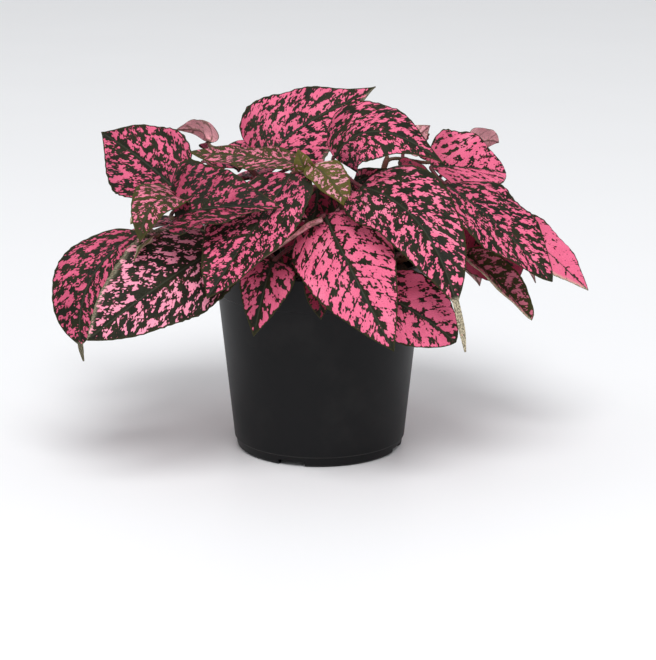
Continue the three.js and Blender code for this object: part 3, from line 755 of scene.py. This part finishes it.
def growthMesh(stemTable):  # the stem's line of points, then one loose point for each leaf
    x, y = stemTable["foot"]
    ground = soilHeight(x, y)
    points = [Vector((x, y, ground + rise)) for rise in shoot["upright"]]
    points += [Vector(point) for point in stemTable["path"]]
    leaves = stemTable["leaves"]
    rings = shoot["rings"]
    curve = [stemPoint(points, k / (rings - 1)) for k in range(rings)]

    def along(share):
        return shoot["soilShare"] + (1 - shoot["soilShare"]) * share

    radii = []
    for k, point in enumerate(curve):
        t = k / (rings - 1)
        radius = shoot["radiusLow"] + (shoot["radiusHigh"] - shoot["radiusLow"]) * t * t
        for item in leaves:
            gap = (point - stemPoint(points, along(item["start"]))).length / shoot["nodeLength"]
            radius += shoot["nodeSwell"] * math.exp(-gap * gap) / len(leaves) ** 0.5
        left = min((point - curve[-1]).length / shoot["tipLength"], 1)
        blunt = shoot["tipShare"]
        radii.append(radius * mm * (blunt + (1 - blunt) * math.sqrt(left * (2 - left))))

    mesh = bpy.data.meshes.new("growth")
    places = [point * mm for point in curve] + [Vector(item["base"]) * mm for item in leaves]
    mesh.from_pydata(places, [(k, k + 1) for k in range(rings - 1)], [])
    numbers = {"radius": radii + [0.0] * len(leaves), "isLeaf": [0.0] * rings + [1.0] * len(leaves)}
    vectors = {}
    nudge = 1e-4
    for item in leaves:
        t = along(item["start"])
        root = stemPoint(points, t)
        rise = (stemPoint(points, min(t + nudge, 1)) - stemPoint(points, t - nudge)).normalized()
        base, mid, tip = (Vector(item[key]) for key in ("base", "mid", "tip"))
        pull = mid * 2 - (base + tip) / 2
        reach = (base - root).length
        lift = Vector((0, 0, item["arch"]))
        away = (pull - base).normalized()
        facts = {"root": root * mm, "rootPull": (root + rise * shoot["rootPull"] * reach + lift) * mm,
                 "basePull": (base - away * shoot["basePull"] * reach + lift) * mm, "base": base * mm,
                 "pull": pull * mm, "tip": tip * mm, "face": Vector(item["face"]),
                 "tone": (item["pink"], item["young"], item["pale"]),
                 "shade": (item["blush"], item["veins"], item["paleTip"])}
        for key, value in facts.items():
            vectors.setdefault(key, [(0, 0, 0)] * rings).append(value)
        long = (mid - base).length + (tip - mid).length
        end = form["tailWidth" if item["tail"] else "tipWidth"]
        sizes = {"leafWidth": item["width"] * mm, "leafLength": long * mm, "leafHook": item["hook"] * mm,
                 "leafFold": math.radians(item["fold"]), "leafEnd": end}
        for key in ("cup", "tail", "broad", "taper", "seed"):
            sizes["leaf" + key.capitalize()] = item[key]
        for key, value in sizes.items():
            numbers.setdefault(key, [0.0] * rings).append(float(value))
    for key, values in numbers.items():
        mesh.attributes.new(key, "FLOAT", "POINT").data.foreach_set("value", values)
    for key, values in vectors.items():
        flat = [share for value in values for share in value]
        mesh.attributes.new(key, "FLOAT_VECTOR", "POINT").data.foreach_set("vector", flat)
    return mesh


def leafNumbers(graph, *names):
    return [number(graph, "leaf" + name) for name in names]


# u runs from -1 to 1 across a blade and v from 0 to 1 along it. a, s and q are lengths: along the midrib,
# out from it, and along it to where the side vein through the point leaves it.
def outline(graph, sizes, a, u, v, seed):  # a full leaf that may end in a narrow drawn-out tip
    broad, taper, tail, end = leafNumbers(graph, "Broad", "Taper", "Tail", "End")
    widest = broad / (broad + taper)
    share = graph.least(v / (1.0 - tail), 1.0)
    ovate = graph.power(share / widest, broad) * graph.power((1.0 - share) / (1.0 - widest), taper)
    drawnOut = end * graph.least((1.0 - v) / 0.1 + 0.25, 1.0)
    wander = graph.noise(graph.vector(a * 120.0, u * 1.5, seed * 7.0), 1.0) - 0.5
    teeth = graph.sine(a * (2 * math.pi / (form["toothSpacing"] * mm)) + wander * 6.0)
    ragged = sizes["Margin teeth"] * teeth + wander * form["wander"]
    return graph.greatest(ovate, drawnOut) * (1.0 + ragged)


def growBlades(graph, points, sizes):
    box = graph.add("GeometryNodeMeshCube", None, {"Size": (2, 1, 2), "Vertices X": sizes["Columns"],
                                                   "Vertices Y": sizes["Rows"], "Vertices Z": 2})
    x, y, z = graph.parts(graph.place())
    sheet = store(graph, box, "u", graph.sign(x) * graph.power(graph.size(x), form["crowdAcross"]))
    sheet = store(graph, sheet, "v", graph.power(y + 0.5, form["crowdAlong"]))
    sheet = store(graph, sheet, "side", z)
    sheet = store(graph, sheet, "isBlade", 1.0)
    sheet = copied(graph, points, sheet)

    u, v, side = number(graph, "u"), number(graph, "v"), number(graph, "side")
    base, pull, tip = arrow(graph, "base"), arrow(graph, "pull"), arrow(graph, "tip")
    length, width, hook, seed = leafNumbers(graph, "Length", "Width", "Hook", "Seed")
    back = 1.0 - v
    middle = base * (back * back) + pull * (back * v * 2.0) + tip * (v * v)
    along = graph.unit((pull - base) * back + (tip - pull) * v)
    right = graph.unit(graph.cross(along, arrow(graph, "face")))
    up = graph.cross(right, along)
    start = form["hookFrom"]
    late = graph.greatest((v - start) / (1.0 - start), 0.0)
    middle = middle + up * (hook * late * late)

    a = v * length
    half = width * 0.5 * outline(graph, sizes, a, u, v, seed)

    # across: a fold along the midrib, sunk or rising margins and a wave
    fold, cup = leafNumbers(graph, "Fold", "Cup")
    wave = sizes["Margin wave"]
    size = graph.size(u)
    phase = v * form["waves"] + u * 2.0
    soft = graph.power(u * u + form["crease"], 0.5)
    rise = soft * graph.sine(fold) - cup * u * u + wave * u * u * graph.sine(phase)
    ripple = graph.noise(graph.vector(a * 90.0, u * 2.0, seed * 3.0), 1.0) - 0.5
    ripple = ripple * (u * u * form["ripple"])
    s = size * half
    q = a - s * form["veinSlope"] - s * s * form["veinBend"]
    spacing = sizes["Vein spacing"]
    pillow = graph.power(graph.size(graph.sine(q * math.pi / spacing)) + 0.001, 0.6)
    calm = graph.ramp(s, 0.5 * mm, 4 * mm) * (1.0 - graph.power(size, 4.0)) * graph.ramp(half, 3 * mm, 9 * mm)
    groove = graph.bell(s, form["grooveWidth"] * mm) * (form["grooveDepth"] * mm)
    groove = groove * graph.ramp(half, 1 * mm, 6 * mm)
    lift = (rise + ripple) * half + pillow * calm * sizes["Quilting"] - groove
    slope = graph.sign(u) * graph.sine(fold) - cup * u * 2.0 + wave * u * 2.0 * graph.sine(phase)
    flat = right * graph.cosine(fold)
    normal = graph.unit(graph.cross(flat + up * slope, along))
    middle = middle + flat * (u * half) + up * lift

    # the sheet's own thickness, with the rib that stands out underneath
    edge = sizes["Margin thickness"]
    thick = edge + (sizes["Blade thickness"] - edge) * (1.0 - u * u)
    stalk = graph.bell(a, form["stalkReach"] * mm) * sizes["Petiole radius"] * 1.4
    rib = graph.bell(s, form["ribWidth"] * mm) * (sizes["Rib height"] * (1.0 - v * 0.7) + stalk)
    under = graph.ramp(-side, 0.0, 0.5)
    sheet = moved(graph, sheet, middle + normal * (side * thick * 0.5 - rib * under))

    # what the materials read: the place on the blade, in millimetres, and each leaf's tones
    edgeGap = (1.0 - size) * half
    sheet = store(graph, sheet, "bladeMap", graph.vector(q, u * half, edgeGap) * (1 / mm))
    sheet = store(graph, sheet, "leafTone", arrow(graph, "tone"))
    sheet = store(graph, sheet, "leafShade", arrow(graph, "shade"))
    return store(graph, sheet, "leafPlace", graph.vector(a * (1 / mm), u, seed))


def growPetioles(graph, points, sizes):
    line = graph.add("GeometryNodeCurvePrimitiveLine", None, {"Start": (0, 0, 0), "End": (1, 0, 0)})
    rings = sizes["Petiole rings"]
    line = graph.add("GeometryNodeResampleCurve", None, {"Curve": line, "Count": rings})
    line = store(graph, line, "t", graph.parts(graph.place())[0])
    line = copied(graph, points, line)
    t = number(graph, "t")
    rest = 1.0 - t
    place = arrow(graph, "root") * (rest * rest * rest) + arrow(graph, "rootPull") * (rest * rest * t * 3.0)
    place = place + arrow(graph, "basePull") * (rest * t * t * 3.0) + arrow(graph, "base") * (t * t * t)
    radius = sizes["Petiole radius"] * (1.0 + graph.bell(t, 0.12) * shoot["rootSwell"])
    return tube(graph, moved(graph, line, place), radius, sizes["Petiole sides"])


def growHairs(graph, skin, sizes):  # short hairs that lean towards the tips, three faces and a foot each
    points = graph.add("GeometryNodeDistributePointsOnFaces", None,
                       {"Mesh": skin, "Density": sizes["Hairs"], "Seed": sizes["Hair seed"]})
    radius, length = sizes["Hair radius"], sizes["Hair length"]
    hair = graph.add("GeometryNodeMeshCone", None, {"Vertices": 3, "Radius Bottom": radius, "Depth": length})
    lean = points["Normal"] + randomOf(graph, (-0.5, -0.5, 0.0), (0.5, 0.5, 0.9), 7)
    lean = graph.add("FunctionNodeAlignRotationToVector", {"axis": "Z"}, {"Vector": lean})
    size = randomOf(graph, (1.0, 1.0, 0.6), (1.0, 1.0, 1.3), 9)
    return copied(graph, points, hair, {"Rotation": lean, "Scale": size})


def leafyStemTree(values):
    tree, graph, sizes = newTree("leafyStem", values)
    isLeaf = graph.above(number(graph, "isLeaf"), 0.5)
    split = graph.add("GeometryNodeSeparateGeometry", {"domain": "POINT"},
                      {"Geometry": sizes, "Selection": isLeaf})
    stalk = graph.add("GeometryNodeMeshToCurve", None, {"Mesh": split["Inverted"]})
    stalk = tube(graph, stalk, number(graph, "radius"), sizes["Stem sides"])
    shoots = join(graph, [stalk, growPetioles(graph, split, sizes)])
    parts = [growBlades(graph, split, sizes), shoots, growHairs(graph, shoots, sizes)]
    isUpper = graph.above(number(graph, "isBlade"), 0.5)
    isUnder = graph.maths("LESS_THAN", number(graph, "side"), -0.5)
    endTree(graph, parts, [(sizes["Shoot"], None), (sizes["Upper face"], isUpper),
                           (sizes["Under face"], isUnder)])
    return tree


# Leaf materials. The blotches follow the veins, and single cells between the finest veins make their edges.
pattern = {  # cells and waves to a millimetre
    "cells": 0.85, "underCells": 0.5, "islands": 0.3, "lobes": 0.85,
    "drift": 0.35, "specks": 1.6, "slow": 0.08,
}
steepness = 13.0  # of a blotch's edge
tint = {
    "pink": srgb(226, 103, 138),
    "palePink": srgb(238, 152, 177),
    "crimson": srgb(136, 36, 64),
    "green": srgb(34, 35, 18),
    "deepGreen": srgb(21, 22, 12),
    "fringe": srgb(104, 36, 50),
    "olive": srgb(104, 98, 42),
    "milk": srgb(216, 158, 166),
    "paleEdge": srgb(192, 180, 154),
    "rib": srgb(60, 62, 50),
    # the underside's own dusty pink, made paler as painted light for what shines through the thin leaf
    "under": srgb(236, 168, 178),
    "underGreen": srgb(152, 118, 108),
    "underVein": srgb(96, 52, 58),
    "shoot": srgb(74, 36, 40),
    "shootGreen": srgb(96, 92, 58),
}


class LeafFacts:  # what a point of a blade knows about its place, in millimetres, and its leaf's tones
    def __init__(self, graph):
        def read(name):
            return graph.parts(graph.add("ShaderNodeAttribute", {"attribute_name": name}, None, "Vector"))
        self.q, self.s, self.edge = read("bladeMap")
        self.pink, self.young, self.pale = read("leafTone")
        self.blush, self.veins, self.paleTip = read("leafShade")
        self.a, self.u, self.seed = read("leafPlace")
        self.size = graph.size(self.s)
        self.half = self.edge + self.size
        flank = graph.sign(self.s) * 9.0  # parts the pattern of the two halves
        finer = 1.0 + self.young * 1.2 - self.veins * 0.3
        along = (self.q + self.size * 0.35) * 0.9 * finer + self.seed * 17.0
        place = graph.vector(along, self.size + flank, 0.0)
        drift = graph.noise(place, pattern["drift"], 1.0, out="Color") - (0.5, 0.5, 0.5)
        self.spot = place + drift * (1.8, 1.8, 0.0)
        spacing = blade["Vein spacing"] / mm
        self.sideVein = graph.size(graph.sine((self.q + graph.parts(drift)[1] * 1.6) * (math.pi / spacing)))


def cells(graph, leafAt, feature, scale):
    return graph.add("ShaderNodeTexVoronoi", {"feature": feature, "voronoi_dimensions": "2D"},
                     {"Vector": leafAt.spot, "Scale": scale})


def blotches(graph, leafAt):  # over 0.5 in a pink island, under it on the green ground
    cell = cells(graph, leafAt, "F1", pattern["cells"])
    chance = graph.parts(cell["Color"])[0] - 0.5
    dots = chance * (1.0 - graph.ramp(cell, 0.12, 0.62))
    islands = graph.noise(leafAt.spot, pattern["islands"], 0.0)
    lobes = graph.noise(leafAt.spot + (40.0, 3.0, 0.0), pattern["lobes"], 1.0)
    level = islands * 0.6 + lobes * 0.4 + dots * 0.3
    level = level - graph.bell(leafAt.size, 0.8) * 0.2 - graph.bell(leafAt.edge, 0.6) * 0.3
    level = level - graph.bell(leafAt.size, 2.0) * leafAt.veins * 0.16
    level = level - graph.bell(leafAt.sideVein, 0.22) * (0.02 + leafAt.veins * islands * 0.3)
    return (level - 0.5 + (leafAt.pink - 0.5) * 0.4) * steepness + 0.3


def bleached(graph, leafAt):  # a speckled whitish strip along one margin, or a whitish drawn-out tip
    speckle = graph.ramp(graph.noise(leafAt.spot, pattern["specks"]), 0.4, 0.6)
    strip = (1.0 - graph.ramp(leafAt.edge, 0.8, 3.2)) * graph.ramp(leafAt.pale * leafAt.u, 0.0, 0.2)
    atTip = leafAt.paleTip * (1.0 - graph.ramp(leafAt.half, 1.4, 3.2)) * graph.ramp(leafAt.a, 25.0, 40.0)
    return graph.least(strip * leafAt.pale + atTip, 1.0) * (0.25 + speckle * 0.75)


def makeUpperFace():
    material, graph, shader = newMaterial("leafUpper", 0.16)
    leafAt = LeafFacts(graph)
    step = blotches(graph, leafAt)
    net = cells(graph, leafAt, "DISTANCE_TO_EDGE", pattern["cells"])
    slow = graph.noise(leafAt.spot, pattern["slow"])
    isPink = graph.ramp(step, 0.4, 1.0)

    blush = leafAt.blush + (slow - 0.5) * 1.2
    pink = graph.mix(graph.ramp(blush, -1.1, 0.1), tint["crimson"], tint["pink"])
    pink = graph.mix(graph.ramp(blush, 0.0, 1.0), pink, tint["palePink"])
    pink = graph.mix(graph.bell(net, 0.05) * 0.3, pink, tint["crimson"])
    # painted shade: deeper crimson towards each blade's base, where the leaves crowd in
    pink = graph.mix((1.0 - graph.ramp(leafAt.a, 0.0, 24.0)) * 0.5, pink, tint["crimson"])
    pink = graph.mix(leafAt.young * 0.85, pink, tint["milk"])
    green = graph.mix(graph.ramp(slow, 0.35, 0.65), tint["deepGreen"], tint["green"])
    olive = leafAt.young * (0.2 + slow * 0.9) + graph.bell(leafAt.edge, 0.7) * 0.15
    green = graph.mix(olive, green, tint["olive"])
    colour = graph.mix(graph.ramp(step, 0.1, 0.5), green, tint["fringe"])
    colour = graph.mix(isPink, colour, pink)
    rib = graph.bell(leafAt.size, 0.4) * 0.6 * graph.ramp(leafAt.half, 1.0, 4.0)
    colour = graph.mix(rib, colour, tint["rib"])
    colour = graph.mix(bleached(graph, leafAt), colour, tint["paleEdge"])
    paint(graph, shader, colour, 0.5 + slow * 0.16 - isPink * 0.05)

    height = graph.least(net * 3.0, 1.0) * 0.09 + graph.noise(leafAt.spot * 4.0, 1.0) * 0.04
    height = height - graph.bell(leafAt.sideVein, 0.12) * 0.12 - graph.bell(leafAt.size, 0.35) * 0.1
    emboss(graph, shader, height, 0.8, 1)
    return material


def makeUnderFace():
    material, graph, shader = newMaterial("leafUnder", 0.25)
    leafAt = LeafFacts(graph)
    step = blotches(graph, leafAt)
    net = cells(graph, leafAt, "DISTANCE_TO_EDGE", pattern["underCells"])
    colour = graph.mix(graph.ramp(step, 0.0, 1.0) * 0.8 + 0.1, tint["underGreen"], tint["under"])
    colour = graph.mix(leafAt.young * 0.5, colour, tint["paleEdge"])
    vein = graph.greatest(graph.bell(leafAt.size, 0.5), graph.bell(leafAt.sideVein, 0.1) * 0.8)
    vein = graph.greatest(vein, graph.bell(net, 0.05) * 0.5)
    colour = graph.mix(vein * 0.8, colour, tint["underVein"])
    colour = graph.mix(bleached(graph, leafAt), colour, tint["paleEdge"])
    paint(graph, shader, colour, 0.56 + net * 0.1)
    height = graph.bell(leafAt.sideVein, 0.1) * 0.15 + graph.bell(net, 0.08) * 0.08
    emboss(graph, shader, height, 0.8, 1)
    return material


def makeShootFace():
    material, graph, shader = newMaterial("shoot", 0.3)
    place = graph.bodyPlace()
    x, y, z = graph.parts(place)
    streak = graph.noise(graph.vector(x * 700.0, y * 700.0, z * 140.0), 1.0, 3.0, 0.6)
    slow = graph.noise(place, 45.0)
    colour = graph.mix(graph.ramp(streak, 0.35, 0.65), tint["shoot"], tint["fringe"])
    colour = graph.mix(graph.ramp(slow, 0.5, 0.7) * 0.6, colour, tint["shootGreen"])
    paint(graph, shader, colour, 0.42 + slow * 0.2)
    emboss(graph, shader, streak, 0.6, 0.15)
    return material


def growPlant():
    sizes = {**blade, "Upper face": makeUpperFace(), "Under face": makeUnderFace(), "Shoot": makeShootFace()}
    tree = leafyStemTree(sizes)
    kept = ("bladeMap", "leafTone", "leafShade", "leafPlace")
    for node, table in leafyStems.items():
        mesh = grow(node + "_growth", growthMesh(table), tree, sizes, kept)
        name = "leafy" + "".join(word.capitalize() for word in node.split("_")[1:])
        addPiece(name, mesh, node)


growPlant()
print("leafy stems grown")
